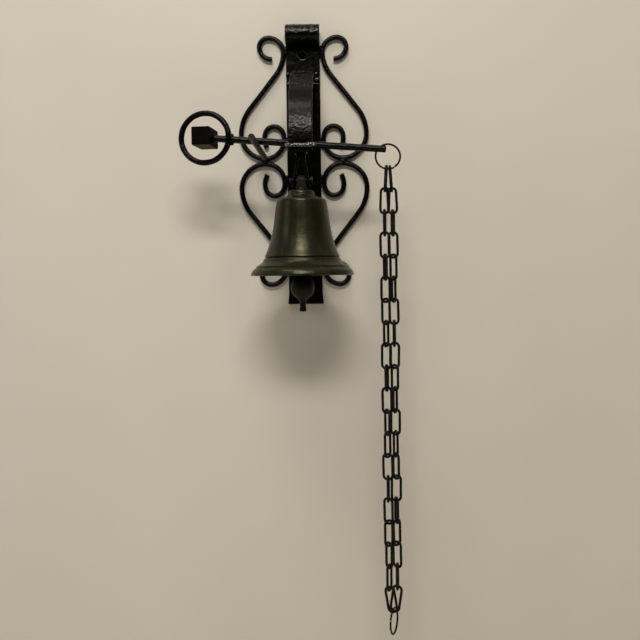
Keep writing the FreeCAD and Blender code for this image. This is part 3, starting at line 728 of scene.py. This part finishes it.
def chain():
    chance = random.Random(11)
    for body in CHAIN_BODIES:
        made = bmesh.new()
        for points in islands(frame["nodes"][body].data):
            centre, long_axis, wide_axis, halves = principal_axes(points)
            normal = long_axis.cross(wide_axis)
            side = chance.choice((-1, 1))
            outline = link_path(halves[0] - CAD_WIRE, halves[1] - CAD_WIRE, chance)
            skew = chance.uniform(-0.12, 0.12) * MM
            path = []
            for aside, along, _ in outline:
                bend = skew * math.sin(along / halves[0] * math.pi)
                path.append(centre + wide_axis * (side * aside + bend) + long_axis * along)
            wire(made, path, [row[2] for row in outline], normal, True)
        mesh = finished(made, body)
        rough_surface(mesh, [(0.10 * MM, 5 * MM), (0.04 * MM, 1.5 * MM)], chance.randint(30, 90))
        piece(body + "_bent", mesh, body, WIRE, [body])


def wire_ring(node, slit_degrees):
    """Ring of round wire whose cut ends nearly meet, in the plane of the CAD ring."""
    _, first, second, _ = principal_axes([v.co.copy() for v in frame["nodes"][node].data.vertices])
    normal = first.cross(second).normalized()
    up = Vector((0, 0, 1))
    across = up.cross(normal).normalized()
    if across.x < 0:
        across = -across
    low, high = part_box(node)
    radius = (high.z - low.z) / 2 - RING_WIRE
    middle = (low + high) / 2
    path = []
    radii = []
    steps = 96
    half_slit = 1.2
    for i in range(steps + 1):
        angle = math.radians(slit_degrees + half_slit + (360 - 2 * half_slit) * i / steps)
        lift = 0.25 * MM * (i / steps - 0.5)
        path.append(middle + (across * math.cos(angle) + up * math.sin(angle)) * (radius + lift))
        radii.append(RING_WIRE * (0.8 if i in (0, steps) else 1.0))
    made = bmesh.new()
    wire(made, path, radii, normal, False)
    mesh = finished(made, node)
    rough_surface(mesh, [(0.05 * MM, 4 * MM)], 97)
    piece(node + "_bent", mesh, node, WIRE, [node])


# --- stage, light and camera -------------------------------------------------------------------

def plane(name, corners, material):
    mesh = bpy.data.meshes.new(name)
    mesh.from_pydata(corners, [], [tuple(range(len(corners)))])
    mesh.materials.append(material)
    thing = bpy.data.objects.new(name, mesh)
    bpy.context.scene.collection.objects.link(thing)


def one_sided(paint):
    """The finished material, clear when seen from behind."""
    clear = paint.nodes.new("ShaderNodeBsdfTransparent")
    choose = paint.nodes.new("ShaderNodeMixShader")
    paint.links.new(paint.nodes.new("ShaderNodeNewGeometry").outputs["Backfacing"], choose.inputs["Fac"])
    paint.links.new(paint.shader.outputs["BSDF"], choose.inputs[1])
    paint.links.new(clear.outputs["BSDF"], choose.inputs[2])
    paint.links.new(choose.outputs["Shader"], paint.nodes["Material Output"].inputs["Surface"])
    return paint.done()


def stage():
    """Wall and floor, and behind each screw hole of the plate a flat near-black disc: painted shade in
    place of a drilled hole's dark inside.
    """
    wall = Material("wall_paint", 0.6, specular=0.3)
    wall.set("Base Color", wall.ramp(wall.noise(0.5, 3), [
        (0.35, (0.77, 0.71, 0.60)), (0.7, (0.83, 0.77, 0.66))]))
    wall.bump(wall.noise(0.004, 4, stretch=(1, 1, 0.2)), 0.00008)
    floor = Material("floor_paint", 0.7)
    floor.set("Base Color", floor.ramp(floor.noise(0.6, 3), [
        (0.3, (0.60, 0.56, 0.50)), (0.7, (0.65, 0.61, 0.55))]))
    # Flat near-black paint for the discs: painted shade for the dark inside of a hole in the wall
    hole_shade_paint = Material("painted_hole_shade", 0.9, specular=0.0)
    hole_shade_paint.shader.inputs["Base Color"].default_value = (0.004, 0.004, 0.004, 1)

    side = 2.2
    top = 2.0
    front = -2.6
    low = cad_box[0].z - 0.16
    back = 0.6 * MM
    plane("wall", [(-side, back, low), (side, back, low), (side, back, top), (-side, back, top)],
          one_sided(wall))
    plane("floor", [(-side, back, low), (-side, front, low), (side, front, low), (side, back, low)],
          one_sided(floor))
    hole = 4 * MM
    # Each disc lies between the wall and the plate, behind a screw hole: painted shade, not a real hole
    for height in (-SCREW_HEIGHT, SCREW_HEIGHT):
        turns = [math.pi * k / 12 for k in range(24)]
        rim = [(hole * math.cos(turn), back / 2, height + hole * math.sin(turn)) for turn in turns]
        plane("painted_hole_shade", rim, hole_shade_paint.done())


WARM = (1.0, 0.965, 0.91)
COOL = (0.78, 0.88, 1.0)


def area_light(name, azimuth, elevation, distance, size, power, color):
    """Rectangular light that faces the bell. Azimuth 0 is in front, and negative is to the left."""
    lamp = bpy.data.lights.new(name, "AREA")
    lamp.shape = "RECTANGLE"
    lamp.size = size[0]
    lamp.size_y = size[1]
    lamp.energy = power
    lamp.color = color
    thing = bpy.data.objects.new(name, lamp)
    bpy.context.scene.collection.objects.link(thing)
    turn = math.radians(azimuth)
    rise = math.radians(elevation)
    way = Vector((math.sin(turn) * math.cos(rise), -math.cos(turn) * math.cos(rise), math.sin(rise)))
    aim = Vector((0.0, AXIS_Y, -0.02))
    thing.location = aim + way * distance
    thing.rotation_euler = (-way).to_track_quat("-Z", "Y").to_euler()


def lights():
    """Two lights from above, a cool sheen from the left, and a sky that is brighter above."""
    area_light("key", 0, 40, 1.7, (0.8, 0.22), 14, WARM)
    area_light("steep", -32, 64, 1.8, (0.8, 0.35), 7.5, WARM)
    area_light("left_sheen", -64, 10, 1.6, (0.25, 0.9), 2.2, COOL)
    world = bpy.data.worlds.new("room")
    world.use_nodes = True
    nodes = world.node_tree.nodes
    links = world.node_tree.links
    split = nodes.new("ShaderNodeSeparateXYZ")
    ramp = nodes.new("ShaderNodeValToRGB")
    for element, (position, level) in zip(ramp.color_ramp.elements, ((0.15, 0.05), (0.95, 1.0))):
        element.position = position
        element.color = (*[level * part for part in WARM], 1)
    links.new(nodes.new("ShaderNodeTexCoord").outputs["Generated"], split.inputs["Vector"])
    links.new(split.outputs["Z"], ramp.inputs["Fac"])
    links.new(ramp.outputs["Color"], nodes["Background"].inputs["Color"])
    nodes["Background"].inputs["Strength"].default_value = 0.48
    bpy.context.scene.world = world


def camera():
    data = bpy.data.cameras.new("camera")
    data.sensor_width = 36.0
    data.lens = 47.25
    data.shift_x = -0.0328
    data.shift_y = -0.0656
    thing = bpy.data.objects.new("camera", data)
    bpy.context.scene.collection.objects.link(thing)
    thing.location = (0.0418, -1.0, -0.1267)
    thing.rotation_euler = Euler((math.radians(90), math.radians(0.76), 0), "XYZ")
    bpy.context.scene.camera = thing
    bpy.context.scene.view_settings.view_transform = "Standard"


bracket()
lever()
plain_fittings()
bell()
chain()
wire_ring("top_ring", -60)
wire_ring("pull_ring", 160)
stage()
lights()
camera()
